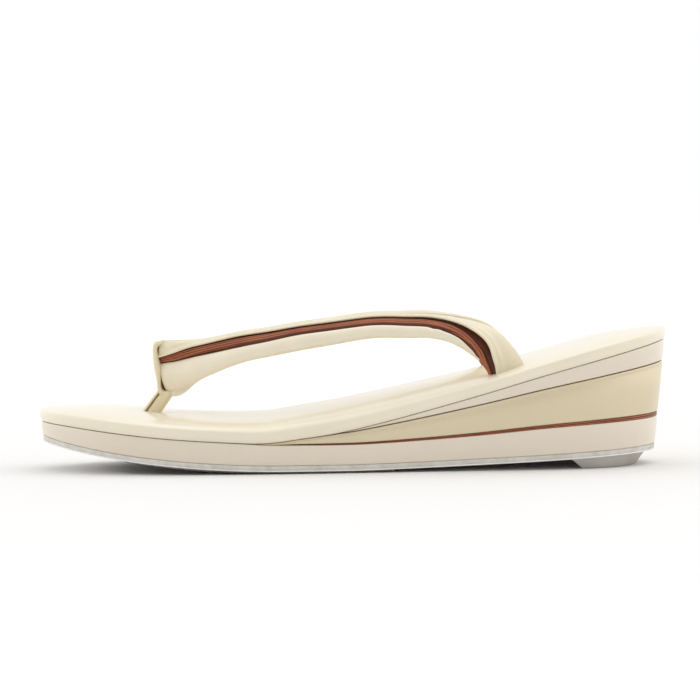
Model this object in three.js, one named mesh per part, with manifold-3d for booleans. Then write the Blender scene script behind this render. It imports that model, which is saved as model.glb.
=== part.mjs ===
// A women's formal zori sandal, built as its maker stacks it: a thin outsole with a tread patch and a heel lift,
// one core under the whole foot, two wedge cores and a folded band under the heel, a padded footbed, and a pair of
// padded straps joined in a V that a front thong holds between the toes.
// Millimetres. +Z is up, the toe points to -X, the heel to +X, and the wearer's left side is -Y.
// The origin is on the floor, under the middle of the sole.
import * as THREE from 'three';
import { mergeVertices } from 'three/addons/utils/BufferGeometryUtils.js';
import Module from 'manifold-3d';

const wasm = await Module();
wasm.setup();

// Driving dimensions of the sole
const soleLength = 240;
const ballWidth = 84;
const sideTaperDegrees = 5.6;
const toeSpring = 10.4;
const heelSpring = 4.9;
const outsoleThickness = 2.2;
const patchThickness = 0.6;
const patchInset = 3;
const patchFront = 24;
const patchLength = 112;
const liftLength = 38;
const liftInset = 3.2;
const liftFlare = 3.4;
const lowerCoreThickness = 8;
const bandThickness = 1.6;
const middleCoreThickness = 19.5;
const upperCoreThickness = 8.2;
const middleCoreLength = 154;
const upperCoreLength = 128;
const bandLength = 138;
const footbedWall = 3.6;
const footbedCrown = 8.6;
const footbedBulge = 0.5;
const edgeRound = 0.6;

// Driving dimensions of the straps and the front thong
const strapWidth = 16;
const strapThickness = 6.4;
const strapSpread = 55;
const strapRise = 37;
const flapStep = 0.5;
const pipingThickness = 1;
const thongSetBack = 36.5;
const thongLoopWidth = 9;
const thongLoopThickness = 2.2;
const thongWaist = 3.4;
const thongPostLength = 7;
const thongPostWidth = 8;
const seatDepth = 3.4;

// Clearance between neighbouring pieces, and the thickness that a wedge starts with
const gap = 0.3;
const featherEdge = 0.12;

// Shortest edge that a cut may leave, the distance at which vertices are one, and a length that counts as none
const weld = 0.03;
const oneVertex = 1e-5;
const tiny = 1e-6;

// Grids that the faceted surfaces are cut into
const soleGrid = { along: 20, across: 10, up: 3 };
const wedgeGrid = { along: 14, across: 10, up: 3 };
const liftGrid = { along: 6, across: 12, up: 1 };
const patchGrid = { along: 14, across: 8, up: 1 };
const footbedGrid = { along: 26, across: 14, up: 3 };
const strapSteps = 36;
const pipingRings = { first: 2, last: 33 };
const seatRing = 28;

const half = { length: soleLength / 2 - footbedBulge, width: ballWidth / 2 };
const taper = Math.tan(THREE.MathUtils.degToRad(sideTaperDegrees));
const clamp = THREE.MathUtils.clamp;
const lerp = THREE.MathUtils.lerp;
const stationOf = (x) => (x / half.length + 1) / 2;
const xOf = (station) => (2 * station - 1) * half.length;

// A smooth curve through the rows of a table: one value of each named column at a station
function smoothTable(rows, names) {
  const stations = rows.map((row) => row.station);
  const values = rows.flatMap((row) => names.map((name) => row[name]));
  const curve = new THREE.CubicInterpolant(stations, values, names.length);
  const first = stations[0];
  const last = stations[stations.length - 1];
  return (station) => {
    const at = curve.evaluate(clamp(station, first, last));
    return Object.fromEntries(names.map((name, i) => [name, at[i]]));
  };
}

// Sections of the sole from toe (0) to heel (1). fullness is the half width as a share of an ellipse of the sole's
// length and ball width, coreShare the lower core's thickness, crownShare the height of the footbed's dome.
const soleSections = smoothTable([
  { station: 0.0, fullness: 1.36, coreShare: 0.64, crownShare: 0.9 },
  { station: 0.05, fullness: 1.34, coreShare: 0.81, crownShare: 0.98 },
  { station: 0.12, fullness: 1.3, coreShare: 0.93, crownShare: 1.03 },
  { station: 0.2, fullness: 1.21, coreShare: 0.99, crownShare: 0.97 },
  { station: 0.3, fullness: 1.09, coreShare: 1.02, crownShare: 0.98 },
  { station: 0.4, fullness: 1.01, coreShare: 0.965, crownShare: 1.1 },
  { station: 0.5, fullness: 0.955, coreShare: 0.96, crownShare: 1.14 },
  { station: 0.6, fullness: 0.937, coreShare: 1.02, crownShare: 1.04 },
  { station: 0.7, fullness: 0.98, coreShare: 1.12, crownShare: 0.96 },
  { station: 0.8, fullness: 1.11, coreShare: 1.26, crownShare: 0.94 },
  { station: 0.9, fullness: 1.3, coreShare: 1.31, crownShare: 1.07 },
  { station: 1.0, fullness: 1.5, coreShare: 1.31, crownShare: 0.95 },
], ['fullness', 'coreShare', 'crownShare']);

function halfWidth(station) {
  const s = clamp(station, 0, 1);
  return half.width * soleSections(s).fullness * 2 * Math.sqrt(s * (1 - s));
}

// A wedge that grows in a straight line to its full thickness at the heel, with a soft start
const wedgeSoftness = 0.03;
const wedgeScale = 1 + Math.hypot(1, wedgeSoftness);
function wedge(station, length, thickness) {
  const along = 1 - (1 - station) * (soleLength / length);
  return (thickness * (along + Math.hypot(along, wedgeSoftness))) / wedgeScale;
}

// The station where a wedge is thick enough for its feather edge over a clearance
function wedgeStart(length, thickness, clearance) {
  const scaled = ((clearance + featherEdge) * wedgeScale) / thickness;
  const along = (scaled ** 2 - wedgeSoftness ** 2) / (2 * scaled);
  return 1 - (1 - along) * (length / soleLength);
}

// Heights of the faces between the layers, each worked out from the one below it
const ball = { front: 0.4, back: 0.5, toePower: 2, heelPower: 1.3 };
function underside(station) {
  const toe = clamp((ball.front - station) / ball.front, 0, 1) ** ball.toePower;
  const heel = clamp((station - ball.back) / (1 - ball.back), 0, 1) ** ball.heelPower;
  return patchThickness + gap + toeSpring * toe + heelSpring * heel;
}
const outsoleTop = (station) => underside(station) + outsoleThickness;
const lowerCoreTop = (station) => outsoleTop(station) + lowerCoreThickness * soleSections(station).coreShare;
const bandStart = 1 - bandLength / soleLength;
const bandLeadIn = 0.06;
const bandTop = (station) => lowerCoreTop(station) + wedge(station, bandLength, bandThickness - gap)
  + gap * THREE.MathUtils.smoothstep(station, bandStart - bandLeadIn, bandStart);
const middleCoreTop = (station) => bandTop(station) + wedge(station, middleCoreLength, middleCoreThickness);
const seam = (station) => middleCoreTop(station) + wedge(station, upperCoreLength, upperCoreThickness);

// A closed three.js geometry whose vertices are moved to their places, as a solid
function solid(geometry, place) {
  geometry.deleteAttribute('normal');
  geometry.deleteAttribute('uv');
  const merged = mergeVertices(geometry, oneVertex);
  const position = merged.attributes.position;
  const vertex = new THREE.Vector3();
  for (let i = 0; i < position.count; i++) {
    vertex.fromBufferAttribute(position, i);
    position.setXYZ(i, ...place(vertex).toArray());
  }
  const shape = new wasm.Manifold(new wasm.Mesh({
    numProp: 3,
    vertProperties: new Float32Array(position.array),
    triVerts: new Uint32Array(merged.index.array),
  }));
  return shape.volume() < 0 ? turnedOut(merged) : shape;
}

// The same surface with its faces turned round, for a map that mirrors
function turnedOut(geometry) {
  const triangles = new Uint32Array(geometry.index.array);
  for (let i = 0; i < triangles.length; i += 3) {
    [triangles[i + 1], triangles[i + 2]] = [triangles[i + 2], triangles[i + 1]];
  }
  return new wasm.Manifold(new wasm.Mesh({
    numProp: 3,
    vertProperties: new Float32Array(geometry.attributes.position.array),
    triVerts: triangles,
  }));
}

// A square grid pressed into a round outline: station and share of the half width of a point of the grid, and how
// far it lies from the middle (0) to the rim (1). With a straight front, only the heel end is round.
function pressed(u, v, start, end, straightFront) {
  const along = straightFront ? (u + 1) / 2 : u;
  const p = along * Math.sqrt(1 - (v * v) / 2);
  const q = v * Math.sqrt(1 - (along * along) / 2);
  const room = Math.sqrt(Math.max(0, 1 - p * p));
  const share = straightFront ? p : (p + 1) / 2;
  return { station: lerp(start, end, share), side: room < tiny ? 0 : q / room, p, q };
}

// A point of a layer: its place in the plan, moved in by the side's taper and by inset. A straight front edge, at
// the station start, isn't moved.
function layerPoint(station, side, height, inset, start = 0) {
  const moved = inset + taper * (seam(station) - height(station));
  const share = start > 0 ? (station - start) / (1 - start) : 2 * station - 1;
  const x = xOf(station) - moved * share;
  const y = side * halfWidth(station) * (1 - moved / half.width);
  return new THREE.Vector3(x, y, height(stationOf(x)));
}

// A layer of the sole between two height functions, with rounded edges
function layer({ grid, bottom, top, start = 0, inset = 0, flare = 0, round = edgeRound }) {
  return solid(new THREE.BoxGeometry(2, 2, 1, grid.along, grid.across, grid.up), ({ x: u, y: v, z }) => {
    const { station, side } = pressed(u, v, start, 1, start > 0);
    const level = Math.round((z + 0.5) * grid.up);
    const cornerAt = (s) => (grid.up === 1 ? 0 : Math.min(round, (top(s) - bottom(s)) / 3));
    const height = (s) => {
      if (level === 0) return bottom(s);
      if (level === grid.up) return top(s);
      return lerp(bottom(s) + cornerAt(s), top(s) - cornerAt(s), (level - 1) / (grid.up - 2));
    };
    const corner = level === 0 || level === grid.up ? cornerAt(station) : 0;
    return layerPoint(station, side, height, inset + flare * (1 - level / grid.up) + corner, start);
  });
}

// The padded footbed: a low wall that bulges at the rim, and a dome over it
function footbedShape() {
  const grid = footbedGrid;
  const rows = [
    { rise: 0, out: -edgeRound },
    { rise: 0.2, out: 0 },
    { rise: 0.6, out: footbedBulge },
    { rise: 1, out: footbedBulge },
  ];
  const domePower = 3.2;
  return solid(new THREE.BoxGeometry(2, 2, 1, grid.along, grid.across, grid.up), ({ x: u, y: v, z }) => {
    const level = Math.round((z + 0.5) * grid.up);
    const flat = pressed(u, v, 0, 1, false);
    const reach = Math.hypot(flat.p, flat.q);
    const pull = reach < tiny ? 1 : Math.sin((reach * Math.PI) / 2) / reach;
    const p = flat.p * pull;
    const room = Math.sqrt(Math.max(0, 1 - p * p));
    const side = room < tiny ? 0 : (flat.q * pull) / room;
    const fromMiddle = Math.min(1, reach * pull);
    const dome = level === grid.up ? Math.sqrt(1 - fromMiddle ** domePower) : 0;
    const height = (s) => seam(s) + gap + footbedWall * rows[level].rise
      + (footbedCrown * soleSections(s).crownShare - footbedWall) * dome;
    return layerPoint((p + 1) / 2, side, height, (height(0.5) - seam(0.5)) * taper - rows[level].out);
  });
}

// Stations of one strap, from the tip of the V to its end in the sole. side and rise place its middle, as shares of
// strapSpread / 2 and strapRise above the footbed's seam. lean is the angle of its width above level, width and
// thick are shares of the strap's size, and white and cream are the edges of the folded copper strip across it.
const strapRows = [
  { step: 0, station: 0.194, side: 0.04, rise: 0.71, lean: 90, width: 1.22, thick: 0.62, white: 0.12, cream: 0.31 },
  { step: 0.05, station: 0.217, side: 0.15, rise: 0.725, lean: 88, width: 1.2, thick: 0.66, white: 0.2, cream: 0.48 },
  { step: 0.13, station: 0.26, side: 0.3, rise: 0.809, lean: 60, width: 1.01, thick: 0.75, white: 0.15, cream: 0.58 },
  { step: 0.26, station: 0.34, side: 0.5, rise: 0.96, lean: 36, width: 0.99, thick: 0.92, white: -0.21, cream: 0.39 },
  { step: 0.38, station: 0.42, side: 0.67, rise: 1.0, lean: 26, width: 0.99, thick: 1.04, white: -0.25, cream: 0.32 },
  { step: 0.5, station: 0.519, side: 0.8, rise: 0.985, lean: 22, width: 0.99, thick: 0.95, white: -0.38, cream: 0.24 },
  { step: 0.62, station: 0.589, side: 0.91, rise: 0.894, lean: 24, width: 0.98, thick: 0.94, white: -0.45, cream: 0.16 },
  { step: 0.69, station: 0.625, side: 0.96, rise: 0.837, lean: 26, width: 0.97, thick: 0.9, white: -0.54, cream: 0.06 },
  { step: 0.76, station: 0.664, side: 0.985, rise: 0.733, lean: 35, width: 0.93, thick: 0.86, white: -0.7, cream: -0.06 },
  { step: 0.83, station: 0.704, side: 1.0, rise: 0.57, lean: 58, width: 0.89, thick: 0.88, white: -0.8, cream: -0.2 },
  { step: 0.9, station: 0.727, side: 1.0, rise: 0.405, lean: 74, width: 0.85, thick: 0.86, white: -0.8, cream: -0.4 },
  { step: 0.95, station: 0.742, side: 1.0, rise: 0.23, lean: 82, width: 0.87, thick: 0.84, white: -0.8, cream: -0.44 },
  { step: 1.0, station: 0.75, side: 1.0, rise: 0, lean: 88, width: 0.93, thick: 0.8, white: -0.8, cream: -0.42 },
];
const strapColumns = ['station', 'side', 'rise', 'lean', 'width', 'thick', 'white', 'cream'];
const strapTable = smoothTable(
  strapRows.map(({ step, station, ...rest }) => ({ station: step, place: station, ...rest })),
  ['place', ...strapColumns.slice(1)],
);

// The middle of a strap at a step from the tip (0) to the end of its foot (1). The foot sinks seatDepth below the
// footbed's seam. mirror is -1 on the wearer's left and 1 on the right.
function strapMiddle(step, mirror) {
  const at = strapTable(step);
  const height = lerp(-seatDepth, strapRise, at.rise);
  return new THREE.Vector3(xOf(at.place), (mirror * at.side * strapSpread) / 2, seam(at.place) + height);
}

// The directions across a strap, from its lower to its upper edge, and out of its face
function strapFrame(step, mirror) {
  const reach = 0.004;
  const before = strapMiddle(clamp(step - reach, 0, 1), mirror);
  const along = strapMiddle(clamp(step + reach, 0, 1), mirror).sub(before).normalize();
  const inward = new THREE.Vector3(0, -mirror, 0);
  const upward = new THREE.Vector3().crossVectors(along, inward).multiplyScalar(-mirror).normalize();
  const level = new THREE.Vector3().crossVectors(upward, along).multiplyScalar(-mirror).normalize();
  const lean = THREE.MathUtils.degToRad(strapTable(step).lean);
  const across = level.clone().multiplyScalar(Math.cos(lean)).addScaledVector(upward, Math.sin(lean));
  const out = level.clone().multiplyScalar(-Math.sin(lean)).addScaledVector(upward, Math.cos(lean));
  return { across, out };
}

// Height of a strap's rounded face over its middle plane, as a share of half its thickness
const padPower = 0.42;
const pad = (across) => Math.max(0, 1 - across * across) ** padPower;

// The outline of a strap at a step: across and out are shares of half its width and half its thickness, and step
// is a height in millimetres over the rounded face. The copper strip lies in the channel between two folds.
function strapSection({ white, cream }) {
  const channel = -(pipingThickness + gap);
  return [
    { across: -1, out: 0, step: 0 },
    { across: -0.9, out: 1, step: 0 },
    { across: lerp(-1, white, 0.55), out: 1, step: 0 },
    { across: white - 0.05, out: 1, step: 0.1 },
    { across: white, out: 1, step: channel },
    { across: lerp(white, cream, 1 / 3), out: 1, step: channel },
    { across: lerp(white, cream, 2 / 3), out: 1, step: channel },
    { across: cream, out: 1, step: channel },
    { across: cream + 0.03, out: 1, step: flapStep },
    { across: lerp(cream, 1, 0.5), out: 1, step: flapStep },
    { across: 0.92, out: 1, step: 0.2 },
    { across: 1, out: 0, step: 0 },
    { across: 0.84, out: -1, step: 0 },
    { across: 0.4, out: -1, step: 0 },
    { across: -0.1, out: -1, step: 0 },
    { across: -0.55, out: -1, step: 0 },
    { across: -0.88, out: -1, step: 0 },
  ];
}

// A point of a strap, or of the same strap grown by a clearance all round
function strapPoint(step, corner, mirror, grown) {
  const at = strapTable(step);
  const { across, out } = strapFrame(step, mirror);
  const width = (strapWidth * at.width) / 2 + grown;
  const thickness = (strapThickness * at.thick) / 2 + grown;
  const lifted = corner.out * (thickness * pad(corner.across)) + corner.step;
  return strapMiddle(step, mirror).addScaledVector(across, corner.across * width).addScaledVector(out, lifted);
}

// One strap as a tube with closed ends, from a ring of its grid on
function strapTube(mirror, grown = 0, firstRing = 0) {
  const corners = strapSection(strapRows[0]).length;
  const tube = new THREE.CylinderGeometry(1, 1, 1, corners, strapSteps - firstRing, false);
  return solid(tube, ({ x, y, z }) => {
    const step = lerp(firstRing / strapSteps, 1, clamp(y + 0.5, 0, 1));
    const beyond = step > 1 - tiny ? grown : 0;
    const end = strapMiddle(1, mirror).sub(strapMiddle(0.98, mirror)).setLength(beyond);
    if (Math.hypot(x, z) < tiny) return strapMiddle(step, mirror).add(end);
    const turn = Math.round((Math.atan2(x, z) / (2 * Math.PI)) * corners);
    const corner = strapSection(strapTable(step))[(turn + corners) % corners];
    const filled = grown > 0 ? { ...corner, step: Math.max(0, corner.step) } : corner;
    return strapPoint(step, filled, mirror, grown).add(end);
  });
}

// The folded copper strip in a strap's channel, from just behind the thong to the footbed. pipingMargin is how far
// in its edges stand, over the clearance, as a share of half the strap's width.
const pipingMargin = 0.02;
function pipingShape(mirror) {
  const { first, last } = pipingRings;
  return solid(new THREE.BoxGeometry(1, 1, 1, last - first, 3, 1), ({ x, y, z }) => {
    const step = lerp(first, last, x + 0.5) / strapSteps;
    const at = strapTable(step);
    const margin = gap / ((strapWidth * at.width) / 2) + pipingMargin;
    const across = lerp(at.white + margin, at.cream - margin, y + 0.5);
    const depth = z > 0 ? 0 : -pipingThickness;
    return strapPoint(step, { across, out: 1, step: depth }, mirror, 0);
  });
}

// The two straps, joined where they cross at the tip of the V
const sides = { left: -1, right: 1 };
const tidied = (shape) => shape.simplify(weld);
const straps = tidied(strapTube(sides.left).add(strapTube(sides.right)));

// Size and place of the joined tip that the thong's loop goes round. The tip leans by slope, so its front and back
// are those at the height of its middle.
const tipEnds = [0, 0.055];
function strapTip() {
  const middles = tipEnds.map((step) => strapMiddle(step, 1));
  const halfHeights = tipEnds.map((step) => (strapWidth * strapTable(step).width) / 2);
  const top = Math.max(...middles.map(({ z }, i) => z + halfHeights[i])) + gap;
  const bottom = Math.min(...middles.map(({ z }, i) => z - halfHeights[i])) - gap;
  const { across } = strapFrame(tipEnds[0], sides.right);
  const slope = across.x / across.z;
  const level = (top + bottom) / 2;
  const end = strapSection(strapTable(tipEnds[0])).map((corner) => strapPoint(tipEnds[0], corner, sides.right, 0));
  return {
    slope,
    level,
    top,
    bottom,
    front: Math.min(...end.map(({ x, z }) => x - slope * (z - level))) - gap,
    back: middles[1].x - slope * (middles[1].z - level),
  };
}

// The loop: a ring that goes up in front of the tip, over it, and down between the straps, where it is narrow.
// square is how boxy the ring is, flatness how flat its strip is, narrowing where it gets narrow from front to back.
const loopForm = { square: 6, flatness: 0.6, narrowing: { from: -0.2, to: 0.75 } };
function thongLoop() {
  const tip = strapTip();
  const wall = thongLoopThickness / 2;
  const centre = (tip.front + tip.back) / 2;
  const reach = { x: (tip.back - tip.front) / 2 + wall, z: (tip.top - tip.bottom) / 2 + wall };
  const { square, flatness, narrowing } = loopForm;
  return solid(new THREE.TorusGeometry(2, 1, 8, 32), (point) => {
    const turn = Math.atan2(point.y, point.x);
    const tube = Math.atan2(point.z, Math.hypot(point.x, point.y) - 2);
    const cos = Math.cos(turn);
    const sin = Math.sin(turn);
    const round = (Math.abs(cos) ** square + Math.abs(sin) ** square) ** (-1 / square);
    const backness = THREE.MathUtils.smoothstep(cos, narrowing.from, narrowing.to);
    const widthHere = lerp(thongLoopWidth, thongWaist, backness) / 2;
    const across = Math.sign(Math.sin(tube)) * Math.abs(Math.sin(tube)) ** flatness * widthHere;
    const outward = Math.sign(Math.cos(tube)) * Math.abs(Math.cos(tube)) ** flatness * wall;
    const scale = 1 + outward / Math.hypot(reach.x * cos * round, reach.z * sin * round);
    const up = reach.z * sin * round * scale;
    return new THREE.Vector3(centre + reach.x * cos * round * scale + tip.slope * up, across, tip.level + up);
  });
}

// The post: a flat rounded bar from the loop's foot down through the footbed into the lower core. intoLoop is how far
// up its head reaches into the loop's strip, headShare where that is from the tip's front to its back, and foot and
// head are its length along the sole there, as shares of thongPostLength.
const postForm = { intoLoop: 0.55, headShare: 0.3, foot: 1.15, head: 0.85, square: 3 };
function thongPost(grown = 0) {
  const tip = strapTip();
  const { square } = postForm;
  const head = tip.bottom - thongLoopThickness * postForm.intoLoop;
  const headX = lerp(tip.front, tip.back, postForm.headShare) + tip.slope * (head - tip.level);
  const top = new THREE.Vector3(headX, 0, head);
  const footX = thongSetBack - soleLength / 2;
  const foot = new THREE.Vector3(footX, 0, lowerCoreTop(stationOf(footX)) - seatDepth);
  const path = new THREE.LineCurve3(foot.addScaledVector(top.clone().sub(foot).normalize(), -grown), top);
  return solid(new THREE.CylinderGeometry(1, 1, 1, 12, 3, false), ({ x, y, z }) => {
    const share = clamp(y + 0.5, 0, 1);
    const at = path.getPoint(share);
    const scale = Math.hypot(x, z) < tiny ? 0 : (Math.abs(x) ** square + Math.abs(z) ** square) ** (-1 / square);
    at.x += x * scale * ((thongPostLength * lerp(postForm.foot, postForm.head, share)) / 2 + grown);
    at.y = z * scale * (thongPostWidth / 2 + grown);
    return at;
  });
}

// Solids
const thong = tidied(thongLoop().add(thongPost()));
const seats = [
  strapTube(sides.left, gap, seatRing),
  strapTube(sides.right, gap, seatRing),
  thongPost(gap),
];
const seated = (shape) => tidied(seats.reduce((rest, seat) => rest.subtract(seat), shape));

const patchTop = (station) => underside(station) - gap;
const patchEnds = [patchFront / soleLength, (patchFront + patchLength) / soleLength];

// The tread patch, whose front edge is bowed and whose front corners are drawn in. Its form is in shares: bow of the
// sole's length, corner of the patch's length, cornerDepth and drawnIn of its width.
const patchForm = { bow: 0.05, corner: 0.3, cornerDepth: 0.85, drawnIn: 0.25 };
function patchShape() {
  const grid = patchGrid;
  return solid(new THREE.BoxGeometry(2, 2, 1, grid.along, grid.across, grid.up), ({ x: u, y: v, z }) => {
    const share = (u + 1) / 2;
    const round = Math.sqrt(1 - (1 - Math.min(1, share / patchForm.corner)) ** 2 * patchForm.cornerDepth);
    const bowed = (1 - Math.cos((v * Math.PI) / 3)) * patchForm.bow * (1 - share);
    const station = lerp(patchEnds[0] + bowed, patchEnds[1], share);
    const height = (s) => patchTop(s) - (z < 0 ? patchThickness : 0);
    return layerPoint(station, v * lerp(1, round, patchForm.drawnIn), height, patchInset);
  });
}

const shapes = {
  tread_patch: patchShape(),
  outsole: layer({ grid: { ...soleGrid, up: 1 }, bottom: underside, top: outsoleTop }),
  heel_lift: layer({
    grid: liftGrid,
    bottom: () => 0,
    top: (station) => underside(station) - gap,
    start: 1 - liftLength / soleLength,
    inset: liftInset,
    flare: liftFlare,
  }),
  lower_core: seated(layer({ grid: soleGrid, bottom: (s) => outsoleTop(s) + gap, top: lowerCoreTop })),
  copper_band: layer({
    grid: { ...wedgeGrid, up: 1 },
    bottom: (s) => lowerCoreTop(s) + gap,
    top: bandTop,
    start: wedgeStart(bandLength, bandThickness - gap, 0),
    inset: edgeRound / 2,
  }),
  middle_core: seated(layer({
    grid: wedgeGrid,
    bottom: (s) => bandTop(s) + gap,
    top: middleCoreTop,
    start: wedgeStart(middleCoreLength, middleCoreThickness, gap),
  })),
  upper_core: seated(layer({
    grid: wedgeGrid,
    bottom: (s) => middleCoreTop(s) + gap,
    top: seam,
    start: wedgeStart(upperCoreLength, upperCoreThickness, gap),
  })),
  footbed: seated(footbedShape()),
  hanao_straps: straps,
  strap_piping_left: pipingShape(sides.left),
  strap_piping_right: pipingShape(sides.right),
  front_thong: thong,
};

// Finishes
const finish = (color, roughness, metalness = 0) => new THREE.MeshStandardMaterial({ color, roughness, metalness });
const cream = finish(0xefe6d1, 0.22);
const finishes = {
  tread_patch: finish(0x8b8984, 0.8),
  outsole: finish(0xbdb9b0, 0.85),
  heel_lift: finish(0xc4c1ba, 0.6),
  lower_core: cream,
  copper_band: finish(0x965f43, 0.35, 0.3),
  middle_core: finish(0xd9cdaa, 0.4, 0.15),
  upper_core: cream,
  footbed: cream,
  hanao_straps: finish(0xe8dcc4, 0.3),
  strap_piping_left: finish(0x9a5f41, 0.35, 0.3),
  strap_piping_right: finish(0x9a5f41, 0.35, 0.3),
  front_thong: finish(0xe0d3b4, 0.35),
};

function meshOf(name, shape) {
  const { vertProperties, triVerts } = shape.getMesh();
  const geometry = new THREE.BufferGeometry();
  geometry.setAttribute('position', new THREE.BufferAttribute(vertProperties, 3));
  geometry.setIndex(new THREE.BufferAttribute(triVerts, 1));
  geometry.computeVertexNormals();
  const mesh = new THREE.Mesh(geometry, finishes[name]);
  mesh.name = name;
  return mesh;
}

const zori = new THREE.Group();
zori.name = 'zori';
for (const [name, shape] of Object.entries(shapes)) {
  zori.add(meshOf(name, shape));
}

export default zori;
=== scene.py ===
"""Looks of a formal zori sandal: layered wedge sole, padded footbed, padded V strap and front thong.

Lengths in the forms below are millimetres in the part's own frame: the toe points to -X, the heel to +X, +Z is up
and the camera looks along +Y. A finished mesh is scaled to metres once, when it becomes an object.
"""
import logging
import math
from dataclasses import dataclass
from enum import Enum
from functools import lru_cache
from typing import Callable, Optional, Sequence

import bmesh
import bpy
from bmesh.types import BMesh
from bpy.types import Material, Node, NodeSocket, NodeTree, Object
from mathutils import Matrix, Vector, noise


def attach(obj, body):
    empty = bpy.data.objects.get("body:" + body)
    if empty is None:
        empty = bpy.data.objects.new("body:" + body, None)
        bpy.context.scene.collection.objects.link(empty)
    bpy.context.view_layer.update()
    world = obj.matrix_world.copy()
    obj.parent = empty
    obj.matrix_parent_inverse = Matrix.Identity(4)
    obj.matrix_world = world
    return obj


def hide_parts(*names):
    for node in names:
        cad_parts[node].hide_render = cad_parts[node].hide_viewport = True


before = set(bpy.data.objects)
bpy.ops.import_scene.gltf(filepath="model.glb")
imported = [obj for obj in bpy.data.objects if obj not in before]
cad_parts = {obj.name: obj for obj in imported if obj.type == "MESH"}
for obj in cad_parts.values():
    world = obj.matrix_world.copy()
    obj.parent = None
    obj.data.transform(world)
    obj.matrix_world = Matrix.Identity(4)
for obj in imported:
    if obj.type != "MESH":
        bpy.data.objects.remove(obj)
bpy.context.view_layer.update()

LOG = logging.getLogger("zori")
MM = 0.001
BODY = "root"
TINY = 1e-6
WELD = 1e-5
PATCH_NOISE = {"Detail": 4.0, "Roughness": 0.55}
PATCH_EDGES = (0.32, 0.62)
FIBRE_NOISE = {"Detail": 6.0, "Roughness": 0.7}
FIBRE_STRETCH = (0.25, 0.25, 1.6)
SPECK_NOISE = {"Detail": 3.0}
# A sheet turned over under a board's upper corner: rows of depth below the face, and inset.
TURNED_SHEET = ((1.6, -0.08), (1.1, 0.22), (0.8, -0.08))


def lerp(low: float, high: float, share: float) -> float:
    """Value at a share of the way from low to high."""
    return low + (high - low) * share


def clamp(value: float, low: float = 0.0, high: float = 1.0) -> float:
    """Value held between low and high."""
    return max(low, min(high, value))


def signed_power(value: float, power: float) -> float:
    """A power of a number's size, with the number's sign."""
    return math.copysign(abs(value) ** power, value)


def squircle(turn: float, power: float) -> tuple:
    """A point at an angle on a rounded square.

    Args:
        turn: the angle.
        power: 2 for a circle, and more for sharper corners.

    Returns:
        The point's two coordinates.
    """
    cos, sin = math.cos(turn), math.sin(turn)
    reach = (abs(cos) ** power + abs(sin) ** power) ** (-1 / power)
    return cos * reach, sin * reach


@dataclass(frozen=True)
class Ramp:
    """A smooth rise from 0 at low to 1 at high."""

    low: float
    high: float

    def __call__(self, value: float) -> float:
        """Share of the rise that is reached."""
        share = clamp((value - self.low) / (self.high - self.low))
        return share * share * (3 - 2 * share)


@dataclass(frozen=True)
class Swell:
    """A bell-shaped rise of a height round a centre."""

    height: float
    centre: float
    spread: float

    def __call__(self, value: float) -> float:
        """Height at a value."""
        return self.height * math.exp(-(((value - self.centre) / self.spread) ** 2))


class SmoothTable:
    """A smooth curve through rows of (place, value), in rising order of place."""

    def __init__(self, *rows: tuple) -> None:
        """Keep the rows, and the slope at each: the mean of the slopes on its two sides."""
        self.rows = rows
        slopes = [(after[1] - before[1]) / (after[0] - before[0]) for before, after in zip(rows, rows[1:])]
        self.slopes = [(left + right) / 2 for left, right in zip(slopes[:1] + slopes, slopes + slopes[-1:])]

    def __call__(self, place: float) -> float:
        """Read the curve.

        Args:
            place: where to read it; outside the rows it keeps the end value.

        Returns:
            The value there.
        """
        place = clamp(place, self.rows[0][0], self.rows[-1][0])
        upper = next(i for i, row in enumerate(self.rows) if i > 0 and place <= row[0])
        (low, value), (high, next_value) = self.rows[upper - 1:upper + 1]
        span = high - low
        share = (place - low) / span
        rise = next_value - value
        first, last = self.slopes[upper - 1] * span, self.slopes[upper] * span
        return value + share * (first + share * (3 * rise - 2 * first - last + share * (first + last - 2 * rise)))


def smooth_columns(rows: Sequence[tuple]) -> list:
    """A smooth table of each column over the first one."""
    places, *columns = zip(*rows)
    return [SmoothTable(*zip(places, column)) for column in columns]


def linear(code: str) -> tuple:
    """Linear colour of an sRGB hex code, with alpha."""
    parts = [int(code[i:i + 2], 16) / 255 for i in (0, 2, 4)]
    return (*[c / 12.92 if c <= 0.04045 else ((c + 0.055) / 1.055) ** 2.4 for c in parts], 1.0)


def add_node(tree: NodeTree, kind: str, values: Optional[dict] = None, links: Optional[dict] = None,
             **settings) -> Node:
    """Add a node with its settings, socket values and incoming links.

    Args:
        tree: the node tree.
        kind: the node's type name, without ShaderNode in front.
        values: default values by input name or number.
        links: source sockets by input name or number.
        **settings: properties of the node itself.

    Returns:
        The new node.
    """
    node = tree.nodes.new(f"ShaderNode{kind}")
    for name, value in settings.items():
        setattr(node, name, value)
    for socket, value in (values or {}).items():
        node.inputs[socket].default_value = value
    for socket, source in (links or {}).items():
        tree.links.new(source, node.inputs[socket])
    return node


class Surface(Enum):
    """How a sheet's surface was made."""

    COATED_LEATHER = "coated leather grain"
    METALLIC_SHEET = "metallic foil on leather grain"
    PRESSED_FIBRE = "cut edge of pressed fibre"
    MOULDED_RUBBER = "moulded rubber"


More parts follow.
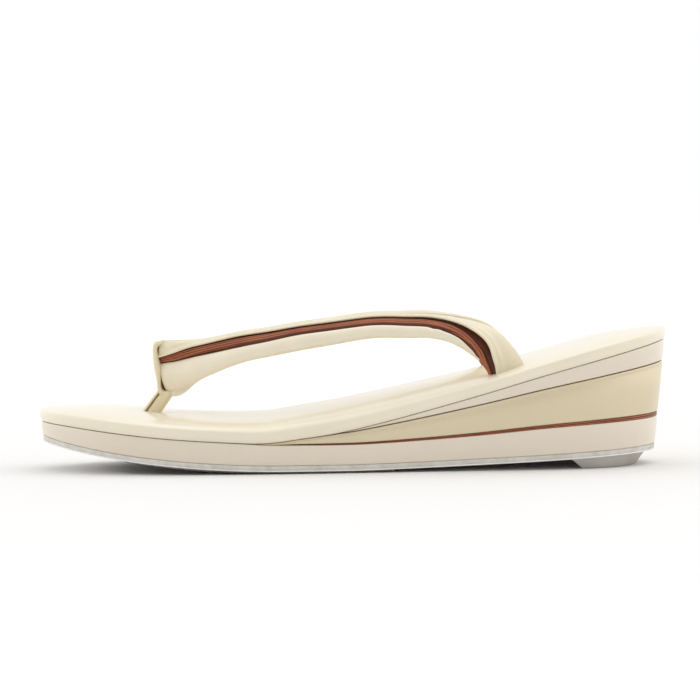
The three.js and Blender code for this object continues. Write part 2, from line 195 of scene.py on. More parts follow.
@dataclass(frozen=True)
class Finish:
    """One real material and what its making gives the eye."""

    name: str
    surface: Surface
    colour: str
    shade: str
    patch_mm: float
    grain_mm: float
    grain_depth_mm: float
    roughness: float
    roughness_spread: float
    metallic: float = 0.0
    coat: float = 0.0
    coat_roughness: float = 0.1

    def material(self) -> Material:
        """Make the material, or find it where it was made before.

        Returns:
            The node material.
        """
        known = bpy.data.materials.get(self.name)
        if known:
            return known
        made = bpy.data.materials.new(self.name)
        made.use_nodes = True
        tree = made.node_tree
        shader = tree.nodes["Principled BSDF"]
        for socket, value in (("Metallic", self.metallic), ("Coat Weight", self.coat),
                              ("Coat Roughness", self.coat_roughness)):
            shader.inputs[socket].default_value = value
        place = add_node(tree, "TexCoord").outputs["Object"]
        patches = add_node(tree, "TexNoise", {"Scale": 1 / (self.patch_mm * MM), **PATCH_NOISE}, {"Vector": place})
        ramp = add_node(tree, "ValToRGB", links={"Fac": patches.outputs["Fac"]})
        for stop, edge, code in zip(ramp.color_ramp.elements, PATCH_EDGES, (self.shade, self.colour)):
            stop.position = edge
            stop.color = linear(code)
        span = {"To Min": self.roughness - self.roughness_spread, "To Max": self.roughness + self.roughness_spread}
        gloss = add_node(tree, "MapRange", span, {"Value": patches.outputs["Fac"]})
        bump = add_node(tree, "Bump", {"Strength": 1.0, "Distance": self.grain_depth_mm * MM},
                        {"Height": self._relief(tree, place)})
        for output, socket in ((ramp.outputs["Color"], "Base Color"), (gloss.outputs["Result"], "Roughness"),
                               (bump.outputs["Normal"], "Normal")):
            tree.links.new(output, shader.inputs[socket])
        return made

    def _relief(self, tree: NodeTree, place: NodeSocket) -> NodeSocket:
        """Height of the surface's grain, by how it was made.

        Args:
            tree: the material's node tree.
            place: Object coordinates.

        Returns:
            The height's socket.
        """
        scale = {"Scale": 1 / (self.grain_mm * MM)}
        if self.surface in (Surface.COATED_LEATHER, Surface.METALLIC_SHEET):
            cells = add_node(tree, "TexVoronoi", scale, {"Vector": place}, feature="SMOOTH_F1")
            return cells.outputs["Distance"]
        if self.surface is Surface.PRESSED_FIBRE:
            stretched = add_node(tree, "Mapping", {"Scale": FIBRE_STRETCH}, {"Vector": place})
            fibres = add_node(tree, "TexNoise", {**scale, **FIBRE_NOISE}, {"Vector": stretched.outputs["Vector"]})
            return fibres.outputs["Fac"]
        specks = add_node(tree, "TexNoise", {**scale, **SPECK_NOISE}, {"Vector": place})
        return specks.outputs["Fac"]


# Coated leather under a pearl lacquer: cream, soft wide highlights, a fine pebble grain.
PEARL_TOP = Finish("pearl_lacquer_cream", Surface.COATED_LEATHER, "EEE5CF", "E9DFC8", 38, 0.55, 0.008, 0.3, 0.04,
                   coat=0.4, coat_roughness=0.1)
# The same sheet drawn tight round the cores, a little pinker, and darker than the top as painted shade on the sides.
PEARL_WALL_PAINTED_SHADE = Finish("pearl_lacquer_wall_painted_shade", Surface.COATED_LEATHER, "E3D7C5", "DFD2BF", 60, 0.55, 0.01, 0.3, 0.04,
                    coat=0.3, coat_roughness=0.15)
# Gold foil under a satin lacquer: yellow-beige, a low metallic sheen.
GOLD_SHEET = Finish("champagne_gold_sheet", Surface.METALLIC_SHEET, "DACCAD", "D4C5A4", 60, 0.5, 0.01, 0.36, 0.04,
                    metallic=0.3, coat=0.2, coat_roughness=0.25)
# Copper foil on thin folded leather: red-brown, satin.
COPPER_SHEET = Finish("copper_foil_leather", Surface.METALLIC_SHEET, "A9633F", "9C5738", 9, 0.4, 0.01, 0.42, 0.06,
                      metallic=0.3)
# The same foil, darker and duller: painted shade for where it lies deep in folds, grooves and recesses.
COPPER_PAINTED_SHADE = Finish("copper_foil_painted_shade", Surface.METALLIC_SHEET, "683522", "562A1A", 9, 0.4, 0.01, 0.55, 0.05,
                     metallic=0.2)
# Pearl cream sheet over the padding of the straps.
STRAP_FOLD = Finish("pearl_fold_beige", Surface.COATED_LEATHER, "E3D8BB", "DDD1B2", 14, 0.5, 0.012, 0.28, 0.05,
                    coat=0.4, coat_roughness=0.12)
# White pearl sheet rolled over the straps' lower edge.
STRAP_ROLL = Finish("pearl_roll_white", Surface.COATED_LEATHER, "E9DFC8", "E4D9C0", 16, 0.5, 0.012, 0.26, 0.05,
                    coat=0.45, coat_roughness=0.1)
# Pale gold sheet of the front thong.
THONG_SHEET = Finish("pale_gold_thong_sheet", Surface.METALLIC_SHEET, "E6D9B6", "E0D2AD", 8, 0.45, 0.012, 0.32, 0.06,
                     metallic=0.15, coat=0.3, coat_roughness=0.15)
# Pressed leather board: a dry grey-beige cut edge with short fibres.
SOLE_EDGE = Finish("pressed_fibre_grey", Surface.PRESSED_FIBRE, "DAD7CF", "C8C4BC", 4, 0.35, 0.05, 0.8, 0.06)
# Its thin pale skin along the lower edge.
SOLE_SKIN = Finish("pale_sole_skin", Surface.MOULDED_RUBBER, "F2F0EC", "E8E5DF", 8, 0.4, 0.015, 0.5, 0.05)
# Moulded rubber of the heel lift: satin grey with a fine speckle.
LIFT_RUBBER = Finish("moulded_rubber_pale_grey", Surface.MOULDED_RUBBER, "BFBBB3", "B4AFA6", 14, 0.5, 0.03, 0.5, 0.07)
# Ribbed rubber sheet of the forefoot tread.
TREAD_RUBBER = Finish("moulded_rubber_grey", Surface.MOULDED_RUBBER, "8E8A82", "7E7A72", 14, 0.5, 0.03, 0.62, 0.07)


def gridded_box(along: int, across: int, up: int) -> BMesh:
    """A box from -1 to 1 each way with its faces cut into a grid.

    Args:
        along: cells along X.
        across: cells along Y.
        up: cells along Z.

    Returns:
        The bmesh.
    """
    mesh = bmesh.new()
    bmesh.ops.create_cube(mesh, size=2.0)
    for axis, cells in enumerate((along, across, up)):
        if cells < 2:
            continue
        edges = [edge for edge in mesh.edges
                 if abs(edge.verts[0].co[axis] - edge.verts[1].co[axis]) > 1.0]
        bmesh.ops.subdivide_edges(mesh, edges=edges, cuts=cells - 1, use_grid_fill=True)
    return mesh


def ringed_tube(around: int, rings: int) -> BMesh:
    """A round tube of radius 1 with closed ends, from -1 to 1 along Z.

    Args:
        around: vertices in a ring.
        rings: steps from end to end.

    Returns:
        The bmesh.
    """
    mesh = bmesh.new()
    bmesh.ops.create_cone(mesh, cap_ends=True, cap_tris=False, segments=around, radius1=1.0, radius2=1.0, depth=2.0)
    edges = [edge for edge in mesh.edges if abs(edge.verts[0].co.z - edge.verts[1].co.z) > 1.0]
    bmesh.ops.subdivide_edges(mesh, edges=edges, cuts=rings - 1, use_grid_fill=True)
    return mesh


def finish_piece(mesh: BMesh, name: str, finish: Finish, slot: str,
                 replaces: Sequence[str] = ()) -> Object:
    """Turn a bmesh in millimetres into a dressed object that rides on the sandal.

    Args:
        mesh: the closed mesh, which is freed here.
        name: the piece's name.
        finish: its material.
        slot: not used.
        replaces: CAD nodes that it stands for.

    Returns:
        The new object.
    """
    bmesh.ops.remove_doubles(mesh, verts=mesh.verts, dist=WELD)
    bmesh.ops.recalc_face_normals(mesh, faces=mesh.faces)
    bmesh.ops.scale(mesh, vec=(MM, MM, MM), verts=mesh.verts)
    for face in mesh.faces:
        face.smooth = True
    data = bpy.data.meshes.new(name)
    mesh.to_mesh(data)
    mesh.free()
    data.materials.append(finish.material())
    piece = bpy.data.objects.new(name, data)
    bpy.context.scene.collection.objects.link(piece)
    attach(piece, BODY)
    if replaces:
        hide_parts(*replaces)
    LOG.info("%s: %d faces", name, len(data.polygons))
    return piece


@dataclass(frozen=True)
class Rim:
    """The edge of a wrapped board: rolled corners, a slightly full side and, where turned, a thin rolled line."""

    radius: float = 0.55
    bulge: float = 0.12
    steps: int = 4
    turned: tuple = ()
    turned_from: float = 6

    @property
    def rows(self) -> int:
        """Steps from the lower to the upper face."""
        return 2 * self.steps + 2 + len(self.turned)

    def at(self, row: int, thickness: float) -> tuple:
        """Height over the lower face and inset of one row.

        Args:
            row: from 0 at the lower face to rows at the upper one.
            thickness: the board's thickness there.

        Returns:
            Height and inset.
        """
        radius = min(self.radius, thickness / 2)
        turned_row = row - self.steps - 2
        if 0 <= turned_row < len(self.turned):
            below, inset = self.turned[turned_row]
            share = min(1.0, thickness / self.turned_from)
            return thickness - max(below * share, radius), inset * share
        upper = row > self.steps + 1
        step = self.rows - row if upper else row
        turn = math.pi / 2 * min(step, self.steps) / self.steps
        rise = radius * (1 - math.cos(turn))
        inset = radius * (1 - math.sin(turn))
        if step > self.steps:
            return thickness / 2, inset - self.bulge
        return (thickness - rise if upper else rise), inset


@dataclass(frozen=True)
class TwinFold(Rim):
    """The edge of a strip folded twice: two small rolls with a groove between them."""

    depth: float = 0.6
    roundness: float = 0.6
    turns: int = 24

    @property
    def rows(self) -> int:
        """Steps from the lower to the upper face."""
        return self.turns

    def at(self, row: int, thickness: float) -> tuple:
        """Height over the lower face and inset of one row of the two rolls."""
        share = row / self.turns
        return thickness * share, self.depth * (1 - abs(math.sin(2 * math.pi * share)) ** self.roundness)


@dataclass
class Sole:
    """The layered sole, from the tread to the padded footbed."""

    length: float = 240
    ball_width: float = 84
    side_taper: float = 5.6
    toe_spring: float = 10.4
    heel_spring: float = 4.9
    outsole: float = 2.2
    skin: float = 0.5
    patch: float = 0.6
    patch_inset: float = 3
    patch_front: float = 24
    patch_length: float = 112
    lift_length: float = 38
    lift_inset: float = 3.2
    lift_flare: float = 3.4
    lift_front_lean: float = 4.4
    lower_core: float = 8
    band: float = 1.6
    middle_core: float = 19.5
    upper_core: float = 8.2
    middle_length: float = 154
    upper_length: float = 128
    band_length: float = 138
    wall: float = 3.6
    crown: float = 8.6
    bulge: float = 0.5
    gap: float = 0.3
    crevice: float = 0.14
    feather: float = 0.05
    softness: float = 0.03
    ball_front: float = 0.4
    ball_back: float = 0.5
    toe_curve: float = 2
    heel_curve: float = 1.3
    band_lead: float = 0.06
    seam_gap: float = 0.05
    hairline: float = 0.02
    skin_proud: float = 0.1
    band_inset: float = 0.1
    inside_inset: float = 0.3
    dome_power: float = 3.2
    rib_pitch: float = 4
    rib_height: float = 0.18
    bow: float = 0.05
    bow_turn: float = math.pi / 3
    corner_reach: float = 0.3
    corner_pull: float = 0.85
    corner_share: float = 0.25
    grid: tuple = (110, 44)
    footbed_grid: tuple = (140, 72)
    tread_grid: tuple = (150, 48)
    # Rows up the footbed's rim: share of the wall's height, and how far it stands proud of the side.
    rim_rows: tuple = ((0.0, -0.7), (0.02, -0.32), (0.08, -0.02), (0.2, 0.2), (0.4, 0.42), (0.68, 0.5), (1.0, 0.5))
    # Rows from toe to heel: station, fullness of the outline, thickness of the lower core, height of the crown.
    shape: tuple = (
        (0.0, 1.36, 0.64, 0.9),
        (0.05, 1.34, 0.81, 0.98),
        (0.12, 1.3, 0.93, 1.03),
        (0.2, 1.21, 0.99, 0.97),
        (0.3, 1.09, 1.02, 0.98),
        (0.4, 1.01, 0.965, 1.1),
        (0.5, 0.955, 0.96, 1.14),
        (0.6, 0.937, 1.02, 1.04),
        (0.7, 0.98, 1.12, 0.96),
        (0.8, 1.11, 1.26, 0.94),
        (0.9, 1.3, 1.31, 1.07),
        (1.0, 1.5, 1.31, 0.95),
    )

    def __post_init__(self) -> None:
        """Keep worked-out sizes, and heights that are read often."""
        self.fullness, self.core_share, self.crown_share = smooth_columns(self.shape)
        self.half_length = self.length / 2 - self.bulge
        self.half_ball = self.ball_width / 2
        self.taper = math.tan(math.radians(self.side_taper))
        self.seam = lru_cache(maxsize=None)(self._seam)

    def station(self, x: float) -> float:
        """Share of the length at x."""
        return (x / self.half_length + 1) / 2

    def x(self, station: float) -> float:
        """Place along the sole of a station."""
        return (2 * station - 1) * self.half_length

    def half_width(self, station: float) -> float:
        """Half the width at the footbed's seam."""
        share = clamp(station)
        return self.half_ball * self.fullness(share) * 2 * math.sqrt(share * (1 - share))

    def start(self, length: float) -> float:
        """Station where a wedge of this length begins."""
        return 1 - length / self.length

    def wedge(self, station: float, length: float, thickness: float) -> float:
        """Thickness of a wedge that grows to the heel, with a soft start."""
        share = (station - self.start(length)) / (1 - self.start(length))
        return thickness * (share + math.hypot(share, self.softness)) / (1 + math.hypot(1, self.softness))

    def tip(self, length: float, thickness: float, clearance: float) -> float:
        """Station where a wedge is thick enough for a feather edge over a clearance.

        Args:
            length: the wedge's length.
            thickness: its thickness at the heel.
            clearance: the crevice under it.

        Returns:
            The station.
        """
        scaled = (clearance + self.feather) * (1 + math.hypot(1, self.softness)) / thickness
        along = (scaled ** 2 - self.softness ** 2) / (2 * scaled)
        return 1 - (1 - along) * length / self.length

    def underside(self, station: float) -> float:
        """Height of the outsole's lower face."""
        toe = clamp((self.ball_front - station) / self.ball_front) ** self.toe_curve
        heel = clamp((station - self.ball_back) / (1 - self.ball_back)) ** self.heel_curve
        return self.patch + self.gap + self.toe_spring * toe + self.heel_spring * heel

    def outsole_top(self, station: float) -> float:
        """Height of the outsole's upper face."""
        return self.underside(station) + self.outsole

    def core_top(self, station: float) -> float:
        """Height of the lower core's upper face."""
        return self.outsole_top(station) + self.lower_core * self.core_share(station)

    def band_top(self, station: float) -> float:
        """Height of the copper band's upper face."""
        start = self.start(self.band_length)
        lift = self.gap * Ramp(start - self.band_lead, start)(station)
        return self.core_top(station) + self.wedge(station, self.band_length, self.band - self.gap) + lift

    def middle_top(self, station: float) -> float:
        """Height of the middle core's upper face."""
        return self.band_top(station) + self.wedge(station, self.middle_length, self.middle_core)

    def _seam(self, station: float) -> float:
        """Height of the seam under the footbed."""
        return self.middle_top(station) + self.wedge(station, self.upper_length, self.upper_core)

    def pressed(self, u: float, v: float, start: float) -> tuple:
        """Press a square grid into the round outline of the sole, or of its heel end.

        Args:
            u: grid place along, -1 to 1.
            v: grid place across, -1 to 1.
            start: station of the front edge; past 0 it is straight and only the heel is round.

        Returns:
            Station and share of the half width, with the flat place p, q.
        """
        along = (u + 1) / 2 if start > 0 else u
        p = along * math.sqrt(1 - v * v / 2)
        q = v * math.sqrt(1 - along * along / 2)
        room = math.sqrt(max(0.0, 1 - p * p))
        share = p if start > 0 else (p + 1) / 2
        return lerp(start, 1.0, share), (0.0 if room < TINY else q / room), p, q

    def place(self, station: float, side: float, height: Callable[[float], float], inset: float,
              start: float = 0.0) -> Vector:
        """A point of a layer, moved in by the side's taper and by inset.

        Args:
            station: share of the length.
            side: share of the half width.
            height: the height as a function of station.
            inset: how far in from the sole's tapered side.
            start: station of a straight front edge, which isn't moved.

        Returns:
            The point.
        """
        moved = inset + self.taper * (self.seam(station) - height(station))
        share = (station - start) / (1 - start) if start > 0 else 2 * station - 1
        x = self.x(station) - moved * share
        y = side * self.half_width(station) * (1 - moved / self.half_ball)
        return Vector((x, y, height(self.station(x))))

    def board(self, bottom: Callable[[float], float], top: Callable[[float], float], rim: Rim, start: float = 0.0,
              inset: float = 0.0, flare: float = 0.0, front_lean: float = 0.0) -> BMesh:
        """One layer between two heights.

        Args:
            bottom: height of its lower face.
            top: height of its upper face.
            rim: the form of its edge.
            start: station of its front edge.
            inset: how far it stands in from the side.
            flare: how much further in its lower edge stands.
            front_lean: how far back the foot of its front edge stands.

        Returns:
            The closed bmesh.
        """
        along, across = self.grid
        mesh = gridded_box(along, across, rim.rows)
        for vertex in mesh.verts:
            station, side, _, _ = self.pressed(vertex.co.x, vertex.co.y, start)
            row = round((vertex.co.z + 1) / 2 * rim.rows)
            thickness = top(station) - bottom(station)
            rise, tuck = rim.at(row, thickness)
            share = rise / thickness
            vertex.co = self.place(station, side, lambda s: lerp(bottom(s), top(s), share),
                                   inset + flare * (1 - share) + tuck, start)
            vertex.co.x += front_lean * (1 - share) * (1 - station) / (1 - start) if start > 0 else 0.0
        return mesh

    def footbed(self, dents: Callable[[float, float], float]) -> BMesh:
        """The padded footbed: a full rolled edge over the seam and a low dome.

        Args:
            dents: how far the padding is drawn down at a place x, y.

        Returns:
            The closed bmesh.
        """
        last = len(self.rim_rows) - 1
        mesh = gridded_box(*self.footbed_grid, last)
        for vertex in mesh.verts:
            row = round((vertex.co.z + 1) / 2 * last)
            _, _, flat_p, flat_q = self.pressed(vertex.co.x, vertex.co.y, 0.0)
            reach = min(1.0, math.hypot(flat_p, flat_q))
            pull = 1.0 if reach < TINY else math.sin(reach * math.pi / 2) / reach
            p, q = flat_p * pull, flat_q * pull
            room = math.sqrt(max(0.0, 1 - p * p))
            side = 0.0 if room < TINY else q / room
            out = math.hypot(p, q)
            dome = math.sqrt(1 - min(1.0, out) ** self.dome_power) if row == last else 0.0
            rise, proud = self.rim_rows[row]

            def height(s: float) -> float:
                """Height of this point at a station."""
                crown = self.crown * self.crown_share(s) - self.wall
                lowest = self.crevice * (1 - rise) + self.gap * rise
                return self.seam(s) + lowest + self.wall * rise + crown * dome

            inset = (height(0.5) - self.seam(0.5)) * self.taper - proud
            vertex.co = self.place((p + 1) / 2, side, height, inset)
            if row == last:
                vertex.co.z -= dents(vertex.co.x, vertex.co.y) * dome
        return mesh

    def tread(self) -> BMesh:
        """The forefoot tread patch, with a bowed front edge and low ribs across it."""
        mesh = gridded_box(*self.tread_grid, 2)
        first = self.patch_front / self.length
        last = first + self.patch_length / self.length
        for vertex in mesh.verts:
            share = (vertex.co.x + 1) / 2
            bow = (1 - math.cos(vertex.co.y * self.bow_turn)) * self.bow * (1 - share)
            station = lerp(first + bow, last, share)
            rounded = math.sqrt(1 - (1 - min(1.0, share / self.corner_reach)) ** 2 * self.corner_pull)
            crest = (1 - math.cos(2 * math.pi * self.x(station) / self.rib_pitch)) / 2
            rib = self.rib_height * crest if vertex.co.z < 0 else 0.0
            level = (vertex.co.z + 1) / 2
            vertex.co = self.place(station, vertex.co.y * lerp(1.0, rounded, self.corner_share),
                                   lambda s: self.underside(s) - self.gap - self.patch * (1 - level) + rib,
                                   self.patch_inset)
        return mesh

    def above(self, height: Callable[[float], float], rise: float) -> Callable[[float], float]:
        """A height as a function of station, raised by a fixed amount."""
        return lambda station: height(station) + rise

    def floor(self, _station: float) -> float:
        """Height of the ground, at any station."""
        return 0.0

    def build(self, dents: Callable[[float, float], float]) -> None:
        """Make and dress every layer.

        Args:
            dents: how far the footbed's padding is drawn down at a place.
        """
        crevice, hairline = self.crevice, self.hairline
        skin_top = self.above(self.underside, self.skin)
        band_tip = self.tip(self.band_length, self.band - self.gap, 0.0)
        layers = (
            ("outsole_skin", SOLE_SKIN, "pale_rubber", [],
             self.board(self.underside, skin_top, Rim(radius=0.15, bulge=0.0, steps=2), inset=-self.skin_proud)),
            ("outsole_board", SOLE_EDGE, "pale_rubber", ["outsole"],
             self.board(skin_top, self.outsole_top, Rim(radius=0.12, bulge=0.05, steps=2), inset=self.skin_proud)),
            ("heel_lift_pad", LIFT_RUBBER, "pale_rubber", ["heel_lift"],
             self.board(self.floor, self.above(self.underside, -hairline), Rim(radius=0.5, bulge=0.0),
                        self.start(self.lift_length), self.lift_inset, self.lift_flare, self.lift_front_lean)),
            # The lower core's sides take the darker pearl: painted shade on the sides.
            ("lower_core_wrapped", PEARL_WALL_PAINTED_SHADE, "pearl_sheet", ["lower_core"],
             self.board(self.above(self.outsole_top, self.seam_gap), self.core_top, Rim())),
            ("copper_band_folded", COPPER_SHEET, "copper_sheet", ["copper_band"],
             self.board(self.above(self.core_top, hairline), self.above(self.band_top, self.seam_gap), TwinFold(),
                        band_tip, self.band_inset)),
            # Inner board of the folded band in the darker copper: painted shade in the groove between its two rolls.
            ("copper_band_inside", COPPER_PAINTED_SHADE, "copper_sheet", ["copper_band"],
             self.board(self.above(self.core_top, hairline / 2),
                        self.above(self.band_top, self.seam_gap - hairline / 2),
                        Rim(radius=0.05, bulge=0.0, steps=2), band_tip, self.inside_inset)),
            ("middle_core_wrapped", GOLD_SHEET, "gold_sheet", ["middle_core"],
             self.board(self.above(self.band_top, crevice), self.middle_top, Rim(turned=TURNED_SHEET),
                        self.tip(self.middle_length, self.middle_core, crevice))),
            # The upper core's sides take the darker pearl: painted shade on the sides.
            ("upper_core_wrapped", PEARL_WALL_PAINTED_SHADE, "pearl_sheet", ["upper_core"],
             self.board(self.above(self.middle_top, self.gap), self.seam, Rim(),
                        self.tip(self.upper_length, self.upper_core, self.gap))),
        )
        finish_piece(self.tread(), "forefoot_tread", TREAD_RUBBER, "grey_rubber", ["tread_patch"])
        for name, finish, slot, stands_for, mesh in layers:
            finish_piece(mesh, name, finish, slot, stands_for)
        finish_piece(self.footbed(dents), "footbed_padded", PEARL_TOP, "pearl_sheet", ["footbed"])


class Part(Enum):
    """The sewn parts of one strap, seen in its cross-section."""

    LINING = "lining"
    ROLL = "roll"
    FOLD = "fold"
    PIPING = "copper"
    BASE = "copper_base"


@dataclass
class Straps:
    """The two padded straps and the copper strips let into them."""

    sole: Sole
    width: float = 16
    thickness: float = 6.4
    spread: float = 55
    rise: float = 37
    seat: float = 3.4
    aim: float = 0.004
    rings: int = 180
    around: int = 64
    # How square the padding is, and how deep its parts lie as shares of half the thickness.
    crown_power: float = 0.42
    under_power: float = 0.8
    edge_power: float = 0.4
    copper_power: float = 0.15
    lining_face: float = 0.15
    lining_back: float = 0.97
    under_share: float = 0.5
    copper_back: float = 0.3
    # The white roll and the slanted tip.
    roll_end: float = 0.87
    roll_reach: float = 0.99
    roll_full: float = 0.45
    roll_fullest: float = 1.1
    roll_span: float = 0.8
    white_fades: Ramp = Ramp(0.76, 0.87)
    droop: Swell = Swell(0.2, 0.03, 0.04)
    tip_slant: float = 2.3
    slant_from: float = 0.05
    slant_fades: Ramp = Ramp(0.0, 0.12)
    # The cream fold, with a beaded lip over the copper.
    fold_step: float = 0.5
    fold_full: float = 0.22
    fold_rear: Swell = Swell(0.7, 0.8, 0.12)
    fold_slope: Ramp = Ramp(1.5, 5.0)
    lip: Swell = Swell(0.4, 0.4, 0.6)
    lip_valley: Swell = Swell(0.3, 2.0, 0.7)
    flap: float = 0.55
    flap_power: float = 0.35
    flap_tucks: Ramp = Ramp(1.68, 3.36)
    # The folded copper strip, the groove along it and the recess behind it.
    groove: float = 0.5
    groove_share: float = 0.15
    groove_depth: float = 1.6
    groove_side: Ramp = Ramp(0.105, 0.195)
    groove_starts: Ramp = Ramp(0.04, 0.14)
    groove_ends: Ramp = Ramp(0.8, 0.9)
    groove_closes: Ramp = Ramp(0.76, 0.88)
    pleat: float = 0.55
    pleat_depth: float = 0.5
    pleat_power: float = 0.7
    valley: float = 0.3
    packed: Ramp = Ramp(0.64, 0.78)
    opened: Ramp = Ramp(0.84, 0.93)
    strip_rear: float = 0.5
    strip_narrows: Ramp = Ramp(0.73, 0.84)
    strip_foot: float = 0.35
    strip_ends: Ramp = Ramp(0.86, 0.93)
    recess: float = 0.9
    recess_across: Ramp = Ramp(0.35, 0.7)
    recess_starts: Ramp = Ramp(0.74, 0.84)
    recess_fade: float = 0.4
    recess_fades: Ramp = Ramp(0.88, 0.98)
    drawn_up: Ramp = Ramp(0.9, 1.6)
    base_reach: float = 2.0
    # Tucks and wrinkles, with the grain of their noise along, across and from strap to strap.
    rear_tucks: Swell = Swell(0.2, 0.78, 0.08)
    front_tucks: Swell = Swell(0.16, 0.04, 0.04)
    tucks: float = 26
    tuck_slant: float = 0.9
    tuck_even: float = 0.6
    tuck_grain: tuple = (9, 1.5, 4.0)
    fine_grain: tuple = (60, 5, 9.0)
    crease: Swell = Swell(0.5, 0.685, 0.008)
    crease_across: Swell = Swell(1.0, -0.8, 0.3)
    crease_slant: float = 0.02

    # Rows from the tip of the V to the foot: step, station, side, rise, lean, width, thick, white, cream
    rows: tuple = (
        (0.0, 0.194, 0.04, 0.71, 90, 1.22, 0.62, 0.12, 0.31),
        (0.05, 0.217, 0.15, 0.725, 88, 1.2, 0.66, 0.2, 0.48),
        (0.13, 0.26, 0.3, 0.809, 60, 1.01, 0.75, 0.15, 0.58),
        (0.26, 0.34, 0.5, 0.96, 36, 0.99, 0.92, -0.21, 0.39),
        (0.38, 0.42, 0.67, 1.0, 26, 0.99, 1.04, -0.25, 0.32),
        (0.5, 0.519, 0.8, 0.985, 22, 0.99, 0.95, -0.38, 0.24),
        (0.62, 0.589, 0.91, 0.894, 24, 0.98, 0.94, -0.45, 0.16),
        (0.69, 0.625, 0.96, 0.837, 26, 0.97, 0.9, -0.54, 0.06),
        (0.76, 0.664, 0.985, 0.733, 35, 0.93, 0.86, -0.7, -0.06),
        (0.83, 0.704, 1.0, 0.57, 58, 0.89, 0.88, -0.8, -0.2),
        (0.9, 0.727, 1.0, 0.405, 74, 0.85, 0.86, -0.8, -0.5),
        (0.95, 0.742, 1.0, 0.23, 82, 0.87, 0.84, -0.8, -0.71),
        (1.0, 0.75, 1.0, 0.0, 88, 0.93, 0.8, -0.99, -0.96),
    )

    def __post_init__(self) -> None:
        """Make a smooth table of each column."""
        names = ("station", "side", "height", "lean", "wide", "thick", "white", "cream")
        self.tables = dict(zip(names, smooth_columns(self.rows)))

    def at(self, name: str, step: float) -> float:
        """Value of a column at a step."""
        return self.tables[name](step)

    def half_wide(self, step: float) -> float:
        """Half the width at a step."""
        return self.width * self.at("wide", step) / 2

    def half_thick(self, step: float) -> float:
        """Half the thickness at a step."""
        return self.thickness * self.at("thick", step) / 2

    def white(self, step: float) -> float:
        """Upper edge of the white roll, as a share of the half width."""
        return lerp(self.at("white", step), -1.0, self.white_fades(step))

    def middle(self, step: float, side: int) -> Vector:
        """Middle of a strap.

        Args:
            step: from 0 at the tip to 1 at the end of the foot.
            side: -1 for the wearer's left strap, 1 for the right one.

        Returns:
            The point.
        """
        station = self.at("station", step)
        height = lerp(-self.seat, self.rise, self.at("height", step))
        return Vector((self.sole.x(station), side * self.at("side", step) * self.spread / 2,
                       self.sole.seam(station) + height))

    def frame(self, step: float, side: int) -> tuple:
        """Directions of a strap.

        Args:
            step: place along the strap.
            side: which strap.

        Returns:
            The directions from its lower to its upper edge, and out of its face.
        """
        ahead, behind = clamp(step + self.aim), clamp(step - self.aim)
        along = (self.middle(ahead, side) - self.middle(behind, side)).normalized()
        upward = (along.cross(Vector((0, -side, 0))) * -side).normalized()
        level = (upward.cross(along) * -side).normalized()
        lean = math.radians(self.at("lean", step))
        return level * math.cos(lean) + upward * math.sin(lean), upward * math.cos(lean) - level * math.sin(lean)

    def wrinkles(self, step: float, across: float, side: int) -> float:
        """Small tucks of the sheet where the strap bends and where the thong gathers it.

        Args:
            step: place along the strap.
            across: share of the half width.
            side: which strap.

        Returns:
            Millimetres out of the face.
        """
        seedy, fine = (noise.noise(Vector((step * along, across * wide, side * apart)))
                       for along, wide, apart in (self.tuck_grain, self.fine_grain))
        waves = math.sin(2 * math.pi * (step * self.tucks + self.tuck_slant * (across + seedy)))
        crease = self.crease(step + self.crease_slant * across) * self.crease_across(across)
        uneven = lerp(seedy, 1.0, self.tuck_even)
        return self.rear_tucks(step) * waves * uneven - crease + self.front_tucks(step) * fine

    def span(self, part: Part, step: float) -> tuple:
        """The edges of a part across the strap.

        Args:
            part: which part.
            step: place along the strap.

        Returns:
            Its lower and upper edge as shares of the half width.
        """
        reach = self.half_wide(step)
        white, cream = self.white(step), self.at("cream", step)
        if part is Part.ROLL:
            return -1.0 - self.droop(step), max(-self.roll_reach, white - self.groove / 2 / reach)
        if part is Part.BASE:
            return max(-self.lining_back, white - 2 * self.groove / reach), cream + self.base_reach / reach
        if part is Part.PIPING:
            dark = self.groove_share * self.groove_starts(step) * (1 - self.groove_ends(step))
            end = lerp(1.0, self.strip_rear, self.strip_narrows(step))
            end = lerp(end, self.strip_foot, self.strip_ends(step))
            return lerp(white, cream, dark), lerp(white, cream, end)
        if part is Part.FOLD:
            return cream, 1.0
        return -self.lining_back, self.lining_back

    def pleats(self, share: float, step: float) -> float:
        """Height of the copper strip's folds over the strap's rounded face: three, then two, then one wide one.

        Args:
            share: place across the strip's own width.
            step: place along the strap.

        Returns:
            Millimetres, zero or less but for the crests.
        """
        turn = math.pi * clamp(share)
        three, two = (abs(math.sin(folds * turn)) ** self.pleat_power for folds in (3, 2))
        folds = lerp(lerp(three, two, self.packed(step)), math.sqrt(math.sin(turn)), self.opened(step))
        return folds * self.pleat - self.pleat_depth

    def inside(self, share: float, from_lip: float, step: float) -> float:
        """Height of the copper sheet between and behind its folds, which is drawn in under the fold at the rear.

        Args:
            share: place across the copper, from the roll (0) to the fold's lip (1).
            from_lip: millimetres past the lip.
            step: place along the strap.

        Returns:
            Millimetres, below zero.
        """
        sunk = self.recess * self.recess_across(share) * self.recess_starts(step)
        sunk *= (1 - self.recess_fade * self.recess_fades(step)) * (1 - self.drawn_up(from_lip))
        groove = self.groove_depth * (1 - self.groove_side(share)) * (1 - self.groove_closes(step))
        return self.valley - self.pleat_depth - sunk - groove

